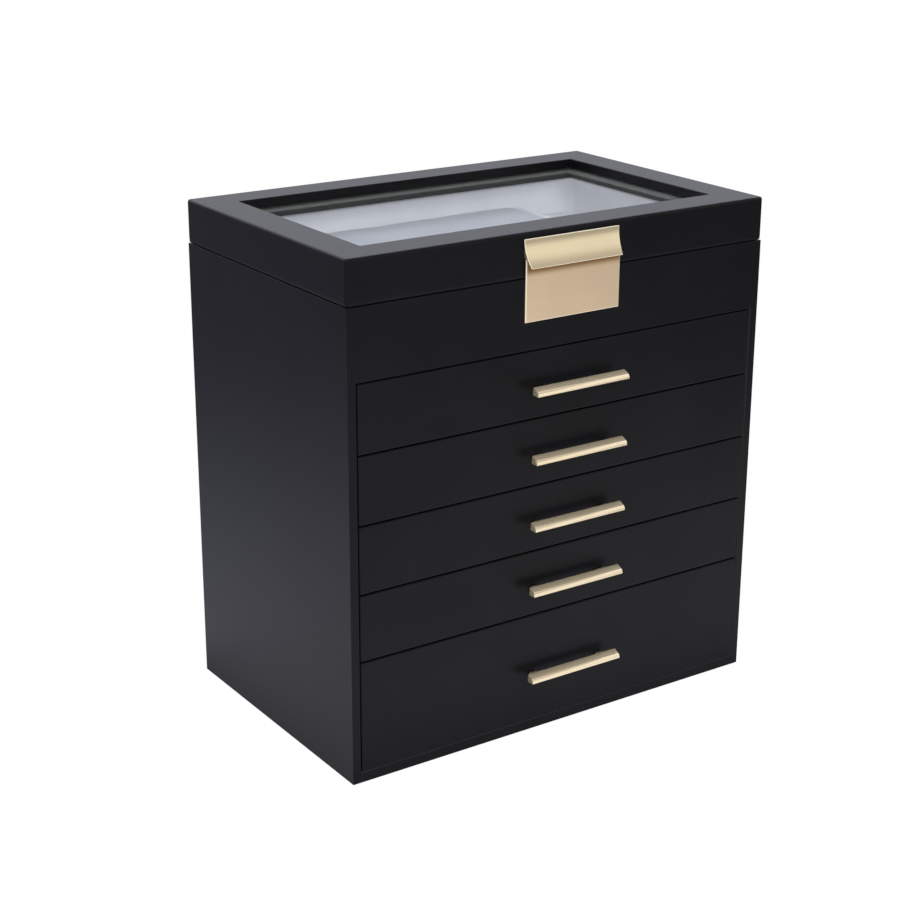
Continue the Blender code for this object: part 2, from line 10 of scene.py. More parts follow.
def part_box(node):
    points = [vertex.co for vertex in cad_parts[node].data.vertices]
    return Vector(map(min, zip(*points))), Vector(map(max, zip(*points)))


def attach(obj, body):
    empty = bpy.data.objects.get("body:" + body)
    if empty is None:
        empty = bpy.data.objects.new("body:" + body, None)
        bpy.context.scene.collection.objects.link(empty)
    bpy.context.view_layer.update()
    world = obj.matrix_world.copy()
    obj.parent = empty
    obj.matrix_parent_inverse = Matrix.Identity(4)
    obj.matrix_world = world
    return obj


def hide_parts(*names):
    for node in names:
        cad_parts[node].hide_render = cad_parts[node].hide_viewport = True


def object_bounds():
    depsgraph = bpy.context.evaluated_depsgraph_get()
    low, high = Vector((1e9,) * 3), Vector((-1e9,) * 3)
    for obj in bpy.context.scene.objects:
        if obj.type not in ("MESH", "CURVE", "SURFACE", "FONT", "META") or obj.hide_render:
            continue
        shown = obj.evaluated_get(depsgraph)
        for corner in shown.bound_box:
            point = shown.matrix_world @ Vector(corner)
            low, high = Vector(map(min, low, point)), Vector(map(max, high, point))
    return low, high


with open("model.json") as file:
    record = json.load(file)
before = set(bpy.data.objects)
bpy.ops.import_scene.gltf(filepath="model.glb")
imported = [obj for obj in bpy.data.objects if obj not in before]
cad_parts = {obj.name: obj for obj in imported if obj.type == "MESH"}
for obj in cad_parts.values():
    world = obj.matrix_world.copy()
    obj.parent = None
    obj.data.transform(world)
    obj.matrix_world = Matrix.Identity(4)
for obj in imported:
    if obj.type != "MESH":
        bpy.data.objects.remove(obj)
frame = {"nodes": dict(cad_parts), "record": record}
CAD_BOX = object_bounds()

# ---------------------------------------------------------------- camera
CAMERA_AZIMUTH = -34.08
CAMERA_ELEVATION = 19.31
CAMERA_ROLL = 0.19
CAMERA_DISTANCE = 1.126
CAMERA_AIM = Vector((-0.0177, 0.0, 0.1456))
CAMERA_LENS = 75.98

# ---------------------------------------------------------------- shared measures
SLACK = 1e-5                       # when a cut face counts as lying on a plane
TOUCH = 1e-4                       # when a tray's face counts as its outside
PAST = 0.01                        # how far a cutting box reaches past what it cuts
# Painted shade under the cast lip: brown that stands in for the lip's shadow on the plate.
LIP_SHADE_BROWN = (0.36, 0.20, 0.075, 1.0)
LIP_SHADE_START = 0.0064             # painted shade: the plate is unshaded from this far below the lip's foot down
LIP_SHADE_FULL = 0.0016              # and fully painted with the lip's shade from this far below it up
FLAT_FACE = 0.99                   # least part along one axis of a flat face's normal
FACES_UP = 0.8                     # least upward part of the normal of a face that looks up
SWELL_FRAMES = 20                  # frames of cloth pressure for each cushion
VOXEL = 0.0042                     # grid of a cushion's cloth


# ================================================================ node helpers
class Nodes:
    """Adds nodes to one material, world or light and links them by name."""

    def __init__(self, tree):
        self.tree = tree
        tree.nodes.clear()

    def add(self, kind, inputs=None, **settings):
        node = self.tree.nodes.new(kind)
        for key, value in settings.items():
            setattr(node, key, value)
        for key, value in (inputs or {}).items():
            self.feed(node.inputs[key], value)
        return node

    def feed(self, socket, value):
        if isinstance(value, bpy.types.NodeSocket):
            self.tree.links.new(value, socket)
        else:
            socket.default_value = value

    def ramp(self, fac, stops):
        node = self.add("ShaderNodeValToRGB", {"Fac": fac})
        while len(node.color_ramp.elements) < len(stops):
            node.color_ramp.elements.new(0.5)
        for element, (place, colour) in zip(node.color_ramp.elements, stops):
            element.position = place
            element.color = (*colour, 1.0)
        return node.outputs["Color"]

    def mix(self, fac, first, second):
        node = self.add("ShaderNodeMix", data_type="RGBA")
        self.feed(node.inputs[0], fac)
        self.feed(node.inputs[6], first)
        self.feed(node.inputs[7], second)
        return node.outputs[2]

    def maths(self, operation, *values):
        node = self.add("ShaderNodeMath", operation=operation)
        for socket, value in zip(node.inputs, values):
            self.feed(socket, value)
        return node.outputs[0]

    def noise(self, vector, scale, detail=3.0, roughness=0.5):
        node = self.add("ShaderNodeTexNoise", {"Vector": vector, "Scale": scale,
                                               "Detail": detail, "Roughness": roughness})
        return node.outputs["Fac"]

    def stretched(self, scale):
        """Object coordinates in metres, stretched by a scale for each axis."""
        place = self.add("ShaderNodeTexCoord").outputs["Object"]
        return self.add("ShaderNodeMapping", {"Vector": place, "Scale": scale}).outputs["Vector"]

    def bump(self, height, strength, distance):
        node = self.add("ShaderNodeBump", {"Height": height, "Strength": strength,
                                           "Distance": distance})
        return node.outputs["Normal"]


def material(name):
    made = bpy.data.materials.new(name)
    made.use_nodes = True
    return made, Nodes(made.node_tree)


def surface(nodes, inputs):
    shader = nodes.add("ShaderNodeBsdfPrincipled", inputs)
    output = nodes.add("ShaderNodeOutputMaterial")
    nodes.feed(output.inputs["Surface"], shader.outputs["BSDF"])


# ================================================================ materials
def leatherette(name):
    """Black coated fabric: fine pebble grain, faint cloudiness and a satin surface."""
    made, nodes = material(name)
    plain = nodes.stretched((1, 1, 1))
    pebble = nodes.add("ShaderNodeTexVoronoi", {"Vector": plain, "Scale": 1500.0},
                       feature="SMOOTH_F1").outputs["Distance"]
    wrinkle = nodes.noise(plain, 620.0, 4.0, 0.6)
    cloud = nodes.noise(plain, 26.0, 2.0, 0.5)
    grain = nodes.maths("ADD", nodes.maths("MULTIPLY", pebble, 0.6), wrinkle)
    colour = nodes.ramp(cloud, ((0.30, (0.0026, 0.0025, 0.0035)),
                                (0.72, (0.0039, 0.0037, 0.0051))))
    rough = nodes.add("ShaderNodeMapRange", {"Value": wrinkle, "To Min": 0.30, "To Max": 0.42})
    surface(nodes, {"Base Color": colour, "Roughness": rough.outputs["Result"],
                    "Specular IOR Level": 0.16,
                    "Normal": nodes.bump(grain, 0.10, 0.00012)})
    return made


def satin_gold(name, colour, roughness, along, metallic=0.80, lip_shade=None):
    """Pale plated metal with hairline brushing; along is how much each axis is stretched.

    The last argument is (plain height, full height) of a painted shade: the gold is browned below an
    overhanging lip to stand in for the lip's shadow.
    """
    made, nodes = material(name)
    lines = nodes.noise(nodes.stretched(along), 1.0, 3.0, 0.6)
    cloud = nodes.noise(nodes.stretched((1, 1, 1)), 60.0, 2.0, 0.5)
    deep = tuple(value * 0.955 for value in colour)
    colour = nodes.ramp(cloud, ((0.3, deep), (0.7, colour)))
    # Painted shade: the gold turns brown below the lip's foot, standing in for the lip's shadow.
    if lip_shade:
        height = nodes.add("ShaderNodeSeparateXYZ", {"Vector": nodes.stretched((1, 1, 1))})
        lip_shade_mask = nodes.add("ShaderNodeMapRange", {"Value": height.outputs["Z"],
                                                "From Min": lip_shade[0], "From Max": lip_shade[1]},
                         interpolation_type="SMOOTHSTEP")
        colour = nodes.mix(lip_shade_mask.outputs["Result"], colour, LIP_SHADE_BROWN)
    rough = nodes.add("ShaderNodeMapRange", {"Value": lines, "To Min": roughness - 0.03,
                                             "To Max": roughness + 0.04})
    surface(nodes, {"Base Color": colour, "Metallic": metallic,
                    "Roughness": rough.outputs["Result"],
                    "Normal": nodes.bump(lines, 0.020, 0.00005)})
    return made


def velvet(name, dark, light, sheen=0.40):
    """Short pile: soft sheen, brushed patches and a fine fibre grain."""
    made, nodes = material(name)
    plain = nodes.stretched((1, 1, 1))
    patches = nodes.noise(plain, 38.0, 3.0, 0.55)
    fibre = nodes.noise(plain, 2600.0, 2.0, 0.7)
    mixed = nodes.maths("ADD", nodes.maths("MULTIPLY", patches, 0.75),
                        nodes.maths("MULTIPLY", fibre, 0.25))
    colour = nodes.ramp(mixed, ((0.34, dark), (0.66, light)))
    surface(nodes, {"Base Color": colour, "Roughness": 0.92, "Specular IOR Level": 0.2,
                    "Sheen Weight": sheen, "Sheen Roughness": 0.45,
                    "Sheen Tint": (0.86, 0.90, 1.0, 1.0),
                    "Normal": nodes.bump(fibre, 0.18, 0.0002)})
    return made


def clear_glass(name):
    """Float glass with a faint green tint that lets lamp light through."""
    made, nodes = material(name)
    shader = nodes.add("ShaderNodeBsdfPrincipled",
                       {"Base Color": (0.945, 0.965, 0.960, 1.0), "Roughness": 0.0, "IOR": 1.50,
                        "Transmission Weight": 1.0})
    clear = nodes.add("ShaderNodeBsdfTransparent", {"Color": (0.93, 0.96, 0.95, 1.0)})
    path = nodes.add("ShaderNodeLightPath")
    lamp = nodes.maths("MAXIMUM", path.outputs["Is Shadow Ray"], path.outputs["Is Diffuse Ray"])
    both = nodes.add("ShaderNodeMixShader", {0: lamp, 1: shader.outputs["BSDF"],
                                             2: clear.outputs["BSDF"]})
    nodes.add("ShaderNodeOutputMaterial", {"Surface": both.outputs["Shader"]})
    return made


def plain_matt(name, colour, roughness, metallic=0.0, grain=400.0, lift=0.15):
    """Matt paint, board or plated steel with a little grain."""
    made, nodes = material(name)
    speck = nodes.noise(nodes.stretched((1, 1, 1)), grain, 3.0, 0.6)
    dark = tuple(value * 0.85 for value in colour)
    surface(nodes, {"Base Color": nodes.ramp(speck, ((0.3, dark), (0.7, colour))),
                    "Roughness": roughness, "Metallic": metallic,
                    "Normal": nodes.bump(speck, lift, 0.0001)})
    return made


LEATHER = leatherette("black_leatherette")
BAY_LINING = plain_matt("black_bay_lining", (0.034, 0.034, 0.037), 0.85, grain=900.0)
PULL_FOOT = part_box("lid_pull")[0].z
# The plate carries painted shade below the lip.
GOLD_PLATE = satin_gold("gold_plate", (0.905, 0.700, 0.480), 0.34, (40, 1, 2600),
                        lip_shade=(PULL_FOOT - LIP_SHADE_START, PULL_FOOT - LIP_SHADE_FULL))
GOLD_PULL = satin_gold("gold_pull", (0.900, 0.755, 0.500), 0.29, (40, 600, 1800), 0.88)
GOLD_BAR = satin_gold("gold_bar", (0.955, 0.805, 0.570), 0.24, (30, 2400, 2400), 0.74)
# Painted highlight: a paler, less metallic gold on rounded rims makes them read as bright edges.
GOLD_RIM_HIGHLIGHT = satin_gold("gold_rim_painted_highlight", (0.950, 0.865, 0.680), 0.34, (300, 300, 300), 0.50)
GOLD_HINGE = satin_gold("gold_hinge", (0.830, 0.640, 0.425), 0.30, (500, 1, 1400))
VELVET = velvet("pale_velvet", (0.705, 0.705, 0.768), (0.805, 0.805, 0.862))
PAD_VELVET = velvet("ring_velvet", (0.235, 0.238, 0.295), (0.285, 0.289, 0.352), 0.12)
SOFT_VELVET = velvet("watch_velvet", (0.500, 0.508, 0.556), (0.600, 0.609, 0.660))
TRAY_VELVET = velvet("tray_velvet", (0.430, 0.436, 0.478), (0.520, 0.528, 0.574), 0.30)
PAPER = plain_matt("black_lining_paper", (0.030, 0.030, 0.031), 0.90, grain=1400.0, lift=0.3)
GLASS = clear_glass("window_glass")
RETAINER = plain_matt("retainer_top", (0.205, 0.205, 0.200), 0.45)
# Painted shade: a darker copy of the retainer's grey for its upright faces.
RETAINER_SHADE = plain_matt("retainer_painted_shade", (0.055, 0.055, 0.054), 0.55)
STEEL = plain_matt("zinc_steel", (0.56, 0.57, 0.58), 0.35, 1.0)
MAGNET = plain_matt("nickel", (0.60, 0.58, 0.55), 0.25, 1.0)


# ================================================================ mesh helpers
def add_box(bm, low, high):
    low, high = Vector(low), Vector(high)
    place = Matrix.Translation((low + high) / 2) @ Matrix.Diagonal((*(high - low), 1.0))
    bmesh.ops.create_cube(bm, size=1.0, matrix=place)


def solid(name, bm):
    """An object from a bmesh, with its faces pointing out."""
    bmesh.ops.recalc_face_normals(bm, faces=bm.faces[:])
    mesh = bpy.data.meshes.new(name)
    bm.to_mesh(mesh)
    bm.free()
    obj = bpy.data.objects.new(name, mesh)
    bpy.context.collection.objects.link(obj)
    return obj


def dress(obj, finish, body, replaced=(), angle=40):
    """Give a piece its finish and body, and hide the CAD nodes that it stands in for.

    Without a finish the piece keeps the materials that it already has.
    """
    if finish:
        obj.data.materials.clear()
        obj.data.materials.append(finish)
    settle(obj, angle)
    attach(obj, body)
    if replaced:
        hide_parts(*replaced)
    return obj


def settle(obj, angle=40):
    """Smooth shading, kept sharp at real edges."""
    obj.data.shade_smooth()
    obj.data.set_sharp_from_angle(angle=math.radians(angle))


def apply_modifiers(obj):
    """Keep what the modifiers make in the piece's own mesh."""
    bpy.context.view_layer.update()
    depsgraph = bpy.context.evaluated_depsgraph_get()
    made = bpy.data.meshes.new_from_object(obj.evaluated_get(depsgraph))
    obj.modifiers.clear()
    old, obj.data = obj.data, made
    bpy.data.meshes.remove(old)


def rounding(obj, width, segments=4, angle=50, edge_finish=-1):
    """Round a piece's edges; edge_finish is the material index of the rounded faces."""
    step = obj.modifiers.new("rounding", "BEVEL")
    step.width = width
    step.material = edge_finish
    step.segments = segments
    step.limit_method = "ANGLE"
    step.angle_limit = math.radians(angle)
    step.harden_normals = True


def combine(obj, tools, operation="DIFFERENCE"):
    """Cut tools out of a piece, or join them to it, one after another."""
    for tool in tools:
        step = obj.modifiers.new("combine", "BOOLEAN")
        step.operation = operation
        step.solver = "EXACT"
        step.object = tool
        apply_modifiers(obj)
        mesh = tool.data
        bpy.data.objects.remove(tool)
        bpy.data.meshes.remove(mesh)


def box_solid(low, high):
    bm = bmesh.new()
    add_box(bm, low, high)
    return solid("box", bm)


def carve(obj, boxes):
    """Cut boxes out of a piece."""
    combine(obj, [box_solid(low, high) for low, high in boxes])


def prism(outline, axis, start, end):
    """Extrude an outline along an axis: (y, z) pairs along X or (x, z) pairs along Y."""
    bm = bmesh.new()
    ring = []
    for first, second in outline:
        point = (start, first, second) if axis == "X" else (first, start, second)
        ring.append(bm.verts.new(point))
    face = bm.faces.new(ring)
    grown = bmesh.ops.extrude_face_region(bm, geom=[face])["geom"]
    step = (end - start, 0, 0) if axis == "X" else (0, end - start, 0)
    moved = [item for item in grown if isinstance(item, bmesh.types.BMVert)]
    bmesh.ops.translate(bm, vec=step, verts=moved)
    return bm


def turned(bm, outline, centre, sides=24):
    """Turn an outline of (radius, y) about an axis along Y through centre."""
    verts = [bm.verts.new((centre.x + radius, y, centre.z)) for radius, y in outline]
    lines = [bm.edges.new(pair) for pair in zip(verts, verts[1:])]
    bmesh.ops.spin(bm, geom=verts + lines, cent=centre, axis=(0, 1, 0),
                   angle=math.tau, steps=sides, use_merge=True)
    bmesh.ops.remove_doubles(bm, verts=bm.verts[:], dist=1e-6)


def plan_ring(bm, low, high, inset, corner, z, steps=5):
    """A ring of points round a rectangle in plan, moved in by inset, with round corners."""
    radius = max(corner - inset, 0.0003)
    centre_x, centre_y = (low[0] + high[0]) / 2, (low[1] + high[1]) / 2
    half_x = (high[0] - low[0]) / 2 - inset - radius
    half_y = (high[1] - low[1]) / 2 - inset - radius
    ring = []
    for quarter in range(4):
        sign_x = 1 if quarter in (0, 3) else -1
        sign_y = 1 if quarter in (0, 1) else -1
        for step in range(steps + 1):
            angle = math.radians(90 * (quarter + step / steps))
            ring.append(bm.verts.new((centre_x + sign_x * half_x + radius * math.cos(angle),
                                      centre_y + sign_y * half_y + radius * math.sin(angle), z)))
    return ring


def loft(bm, rings):
    """Skin rings of equal length and close both ends."""
    for lower, upper in zip(rings, rings[1:]):
        for index in range(len(lower)):
            after = (index + 1) % len(lower)
            bm.faces.new((lower[index], lower[after], upper[after], upper[index]))
    bm.faces.new(reversed(rings[0]))
    bm.faces.new(rings[-1])


# ================================================================ case
def build_case_shell():
    """The wrapped case as one seamless skin, with soft folds at every opening."""
    low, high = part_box("case_wrap")
    base_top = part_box("base_panel")[1].z
    rail_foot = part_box("front_rail")[0].z
    turn_in = 0.0004                # the lining's thickness on the boards' inner faces
    side_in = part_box("right_side")[0].x - turn_in
    deep_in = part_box("back_panel")[0].y - turn_in
    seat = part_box("compartment_floor")[0].z + 0.0002
    fold, recess = 0.0070, 0.0004   # the sheet's turned edge and the paper's step underneath
    shell = box_solid((low.x, low.y, 0.0), (high.x, high.y, high.z))
    shell.name = "case_leather"
    carve(shell, [((-side_in, -deep_in, seat), (side_in, deep_in, high.z + PAST)),
                  ((-side_in, low.y - PAST, base_top), (side_in, deep_in, rail_foot)),
                  ((low.x + fold, low.y + fold, -PAST), (high.x - fold, high.y - fold, recess))])
    dress(shell, LEATHER, "case",
          ("case_wrap", "left_side", "right_side", "back_panel", "front_rail", "base_panel"))
    shell.data.materials.append(BAY_LINING)
    shell.data.materials.append(PAPER)
    for face in shell.data.polygons:
        place = face.center
        inside = abs(place.x) < side_in + SLACK and abs(place.y) < deep_in + SLACK
        if abs(place.z - recess) < SLACK:
            face.material_index = 2
        elif inside and base_top - SLACK < place.z < rail_foot + SLACK:
            face.material_index = 1
    rounding(shell, 0.0005, 4)


def build_wrap_overlap():
    """Where the leatherette's end laps over its start, down the middle of the back."""
    low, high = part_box("case_wrap")
    width, lift, sunk, slope, ends = 0.014, 0.0003, 0.0001, 0.003, 0.0012
    bm = bmesh.new()
    ridge = [(-width / 2, high.y - sunk), (-width / 2, high.y + lift),
             (width / 2 - slope, high.y + lift), (width / 2, high.y - sunk)]
    rings = [[bm.verts.new((x, y, z)) for x, y in ridge]
             for z in (low.z + ends, high.z - ends)]
    loft(bm, rings)
    flap = dress(solid("leather_overlap", bm), LEATHER, "case", angle=60)
    rounding(flap, 0.00012, 2, 30)


def paint(node, finish):
    """Give a CAD node its finish and soft shading."""
    obj = frame["nodes"][node]
    obj.data.materials.clear()
    obj.data.materials.append(finish)
    settle(obj)
    step = obj.modifiers.new("even_normals", "WEIGHTED_NORMAL")
    step.keep_sharp = True
    return obj


def paint_tray(node):
    """Black paper outside and underneath, velvet inside and over the rims."""
    tray = paint(node, TRAY_VELVET)
    tray.data.materials.append(PAPER)
    low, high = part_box(node)
    for face in tray.data.polygons:
        place = face.center
        off = min(place.x - low.x, high.x - place.x, place.y - low.y, high.y - place.y)
        if off < TOUCH or place.z < low.z + TOUCH:
            face.material_index = 1


def paint_plate(node):
    """Satin gold, with a paler gold on the rounded rim as a painted highlight."""
    plate = paint(node, GOLD_PLATE)
    plate.data.materials.append(GOLD_RIM_HIGHLIGHT)
    for face in plate.data.polygons:
        if max(abs(part) for part in face.normal) < FLAT_FACE:
            face.material_index = 1


def paint_retainer(node):
    """Grey under the glass, with painted shade on its upright faces."""
    retainer = paint(node, RETAINER)
    retainer.data.materials.append(RETAINER_SHADE)
    for face in retainer.data.polygons:
        if face.normal.z < FACES_UP:
            face.material_index = 1


def finish_cad_nodes():
    for node in frame["nodes"]:
        if node == "lid_frame" or node.endswith("_front"):
            paint(node, LEATHER)
        elif node in ("top_liner", "tray_divider"):
            paint(node, VELVET)
        elif node.endswith("_tray"):
            paint_tray(node)
        elif node == "clasp_plate":
            paint_plate(node)
        elif node.endswith("_pin") or (node.startswith("drawer") and "screw" in node):
            paint(node, STEEL)
        elif node.endswith("_leaf"):
            paint(node, GOLD_HINGE)
        elif node == "lid_glass":
            paint(node, GLASS)
        elif node == "glass_retainer":
            paint_retainer(node)
        elif node == "case_magnet":
            paint(node, MAGNET)
        elif node.startswith("shelf") or node == "compartment_floor":
            paint(node, BAY_LINING)


# ================================================================ lid
def build_lid_lining():
    """Velvet on the inside of the lid's walls, above the collar, and under its frame."""
    low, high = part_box("lid_frame")
    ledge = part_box("glass_retainer")
    collar_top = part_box("top_liner")[1].z
    wall, skin, play, below, above = 0.0051, 0.0007, 0.0006, 0.2, 0.4
    wall_x, wall_y = high.x - wall, high.y - wall
    foot, ceiling = collar_top + 0.00025, ledge[0].z - 0.0001
    lining = box_solid((-wall_x, -wall_y, foot), (wall_x, wall_y, ceiling))
    lining.name = "lid_lining"
    open_x, open_y = ledge[1].x + play, ledge[1].y + play
    carve(lining, [((skin - wall_x, skin - wall_y, below),
                    (wall_x - skin, wall_y - skin, ledge[0].z - skin)),
                   ((-open_x, -open_y, below), (open_x, open_y, above))])
    dress(lining, VELVET, "lid")


def build_pull():
    """The cast lip on the lid's face: a thick root thinning into a flared finger edge."""
    low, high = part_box("lid_pull")
    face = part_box("lid_frame")[0].y
    plate_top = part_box("clasp_plate")[1].z
    root, reach, sheet, taper = 0.0012, face - low.y, 0.0010, 0.0012
    steps, curve = 28, 2.2

    def flare(z):
        return max(0.0, (high.z - z) / (high.z - low.z)) ** curve

    def out(z):
        return root + (reach - root) * flare(z)

    heights = [high.z - (high.z - low.z) * index / steps for index in range(steps + 1)]
    root_foot = plate_top + 0.0003
    outline = [(high.y, high.z)] + [(face - out(z), z) for z in heights]
    outline += [(face - out(z) + sheet, z) for z in reversed(heights) if z < root_foot]
    outline.append((high.y, root_foot))
    bm = prism(outline, "X", low.x, high.x)
    middle = (low.x + high.x) / 2
    for vert in bm.verts:
        vert.co.x -= math.copysign(taper * flare(vert.co.z), vert.co.x - middle)
    pull = solid("cast_pull", bm)
    pull.data.materials.append(GOLD_PULL)
    pull.data.materials.append(GOLD_RIM_HIGHLIGHT)
    dress(pull, None, "lid", ("lid_pull",), 30)
    # The rounded edges take the paler gold as a painted highlight.
    rounding(pull, 0.00045, 3, 35, edge_finish=1)


# ================================================================ handles
def handle_outline(back, nose, height):
    """Bar section as (reach, drop): crowned sloping top and a gently rounded front."""
    brow, brow_in, under, crown = 0.0019, 0.0008, 0.0006, 0.00022
    top_steps, front_steps = 7, 8
    points = [(back, -height), (back, -0.0001)]
    for step in range(1, top_steps):
        share = step / top_steps
        points.append((back + (nose - brow_in - back) * share,
                       -brow * share + crown * math.sin(math.pi * share)))
    for step in range(front_steps + 1):
        share = step / front_steps
        points.append((nose - brow_in * (1 - share) ** 2,
                       -brow - (height - brow - under) * share))
    points.append((nose - under, -height))
    return points


def build_handle(number):
    """A drawer's bar with its two raked feet, in one piece."""
    node = f"drawer_{number}_handle"
    low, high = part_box(node)
    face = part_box(f"drawer_{number}_front")[0].y
    back, height = 0.0060, 0.0048
    outline = [(face - reach, high.z + drop)
               for reach, drop in handle_outline(back, face - low.y, height)]
    bar = solid(f"drawer_{number}_bar", prism(outline, "X", low.x, high.x))
    bar.data.materials.append(GOLD_BAR)
    rounding(bar, 0.00035, 3, 32)
    apply_modifiers(bar)
    middle = (low.x + high.x) / 2
    spacing, width, tall, rake, slim = 0.0480, 0.0050, 0.0040, 0.0020, 0.0002
    inside, outside, level = face - back - 0.0010, face - 0.0003, high.z - 0.0006
    section = [(inside, level), (outside, level - rake),
               (outside, level - rake - tall + slim), (inside, level - tall + slim)]
    feet = []
    for side in (-1, 1):
        centre = middle + side * spacing / 2
        foot = solid("foot", prism(section, "X", centre - width / 2, centre + width / 2))
        rounding(foot, 0.0005, 3)
        apply_modifiers(foot)
        feet.append(foot)
    combine(bar, feet, "UNION")
    dress(bar, None, f"drawer_{number}", (node,), 30)


# ================================================================ hinge screws
def build_hinge_screws(body):
    """Domed screws with a cross recess, four on the case and four on the lid."""
    names = [node for node in frame["nodes"]
             if node.startswith("hinge") and f"_{body}_screw" in node]
    bm = bmesh.new()
    slots = []
    for name in names:
        low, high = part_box(name)
        centre = Vector(((low.x + high.x) / 2, 0.0, (low.z + high.z) / 2))
        head, dome, shank = (high.x - low.x) / 2, 0.0009, 0.0008
        seat = high.y - dome
        outline = [(0.0, low.y), (shank, low.y + 0.0006), (shank, seat)]
        outline += [(head * math.cos(math.radians(turn)),
                     seat + dome * math.sin(math.radians(turn))) for turn in range(0, 90, 15)]
        outline.append((0.0, high.y))
        turned(bm, outline, centre)
        long, thin, deep = 0.0012, 0.00022, 0.00055
        for half_x, half_z in ((long, thin), (thin, long)):
            slots.append(((centre.x - half_x, high.y - deep, centre.z - half_z),
                          (centre.x + half_x, high.y + 0.001, centre.z + half_z)))
    screws = solid(f"{body}_hinge_screws", bm)
    carve(screws, slots)
    dress(screws, GOLD_HINGE, body, names, 30)


# ================================================================ soft pieces
def pad_body(bm, low, high, edge, crown):
    """One closed pad: flat underneath, rounded over its edges and crowned on top."""
    corner, turns, levels, tuck = edge * 1.6, 5, 7, 0.0006
    rings = [plan_ring(bm, low, high, tuck, corner, low[2])]
    waist = (low[2] + high[2]) / 2
    rings.append(plan_ring(bm, low, high, 0.0, corner, min(waist, high[2] - edge)))
    for step in range(turns + 1):
        angle = math.radians(90 * step / turns)
        rings.append(plan_ring(bm, low, high, edge * (1 - math.cos(angle)), corner,
                               high[2] - edge * (1 - math.sin(angle))))
    reach = 0.94 * min(high[0] - low[0], high[1] - low[1]) / 2
    for step in range(1, levels + 1):
        share = step / levels
        rings.append(plan_ring(bm, low, high, edge + (reach - edge) * share, corner,
                               high[2] + crown * (1 - (1 - share) ** 2)))
    loft(bm, rings)


def rooms_of(number):
    """The rooms of a drawer's tray as boxes, from the record's openings."""
    rooms = []
    for opening in frame["record"]["physics"]["openings"]:
        if opening["name"].startswith(f"drawer_{number}_room"):
            rooms.append(opening["box_m"])
    return rooms


def build_drawer_pads(number):
    """A thin velvet pad on the floor of each room of a drawer."""
    bm = bmesh.new()
    floor_play, thick, edge, crown = 0.0002, 0.0042, 0.0016, 0.0009
    for low, high in rooms_of(number):
        foot = low[2] - floor_play
        pad_body(bm, (low[0], low[1], foot), (high[0], high[1], foot + thick), edge, crown)
    pads = dress(solid(f"drawer_{number}_pads", bm), TRAY_VELVET, f"drawer_{number}",
                 angle=60)


def cushion_start(name, low, high, inset, edge):
    """The foam block inside a cushion, ready to be blown up."""
    bm = bmesh.new()
    add_box(bm, Vector(low) + Vector((inset, inset, 0.0)), Vector(high) - Vector((inset,) * 3))
    bmesh.ops.bevel(bm, geom=bm.edges[:], offset=edge, segments=3, profile=0.5, affect="EDGES")
    cushion = solid(name, bm)
    step = cushion.modifiers.new("voxels", "REMESH")
    step.mode = "VOXEL"
    step.voxel_size = VOXEL
    apply_modifiers(cushion)
    return cushion


def blow_up(cushion, low, high, pressure, cap, crown):
    """Swell a cushion with cloth pressure, then hold each point to the cap and to its room.

    The cap and the room hold back about two thirds of the ring cushion's points.
    """
    start = [vert.co.copy() for vert in cushion.data.vertices]
    cloth = cushion.modifiers.new("cloth", "CLOTH")
    cloth.settings.quality = 6
    cloth.settings.mass = 0.25
    cloth.settings.tension_stiffness = 18.0
    cloth.settings.compression_stiffness = 18.0
    cloth.settings.use_pressure = True
    cloth.settings.uniform_pressure_force = pressure
    cloth.settings.effector_weights.gravity = 0.0
    for number in range(1, SWELL_FRAMES + 1):
        bpy.context.scene.frame_set(number)
    apply_modifiers(cushion)
    bpy.context.scene.frame_set(1)
    for before, vert in zip(start, cushion.data.vertices):
        move = vert.co - before
        if move.length > cap:
            vert.co = before + move.normalized() * cap
        vert.co.x = min(max(vert.co.x, low[0]), high[0])
        vert.co.y = min(max(vert.co.y, low[1]), high[1])
        vert.co.z = min(max(vert.co.z, low[2]), high[2] + crown)


def soften(cushion):
    """Smooth and refine a blown-up cushion."""
    step = cushion.modifiers.new("soft", "CORRECTIVE_SMOOTH")
    step.iterations = 2
    step.factor = 0.4
    step.use_only_smooth = True
    more = cushion.modifiers.new("finer", "SUBSURF")
    more.levels = more.render_levels = 1
    apply_modifiers(cushion)


def build_ring_cushion():
    """A smooth foam cushion under tight velvet, filling the wide side of the top tray."""
    low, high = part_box("ring_pad")
    cushion = cushion_start("ring_cushion", low, high, 0.0012, 0.0022)
    blow_up(cushion, low, high, 0.6, 0.0012, 0.0004)
    soften(cushion)
    dress(cushion, PAD_VELVET, "case", ("ring_pad",), 180)


def build_watch_cushion():
    """A softer pad with sewn channels, filling the narrow side of the top tray."""
    low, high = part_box("watch_pad")
    cushion = cushion_start("watch_cushion", low, high, 0.0014, 0.0030)
    blow_up(cushion, low, high, 3.0, 0.004, 0.0012)
    soften(cushion)
    channels, depth, width = 3, 0.0022, 0.0030
    span = high.y - low.y
    for vert in cushion.data.vertices:
        for index in range(1, channels):
            off = (vert.co.y - (low.y + span * index / channels)) / width
            share = max(0.0, (vert.co.z - low.z) / (high.z - low.z) - 0.5) * 2
            vert.co.z -= depth * share * math.exp(-off * off)
    dress(cushion, SOFT_VELVET, "case", ("watch_pad",), 180)


# ================================================================ stage
def emission(name, build):
    made, nodes = material(name)
    light = nodes.add("ShaderNodeEmission", {"Color": build(nodes)})
    nodes.add("ShaderNodeOutputMaterial", {"Surface": light.outputs["Emission"]})
    return made


WALL_LEVEL = 1.20                  # brightness of the studio walls in what they light
FLOOR_TOUCH = 0.58                 # painted contact shadow: floor brightness right beside the chest
FLOOR_NEAR = 1.02                  # a hand's breadth away
FLOOR_FAR_FRONT = 0.66             # far off in front
FLOOR_FAR_BACK = 0.30              # far off behind
FLOOR_RIGHT_LOSS = 0.85            # how much dimmer it is far off to the right


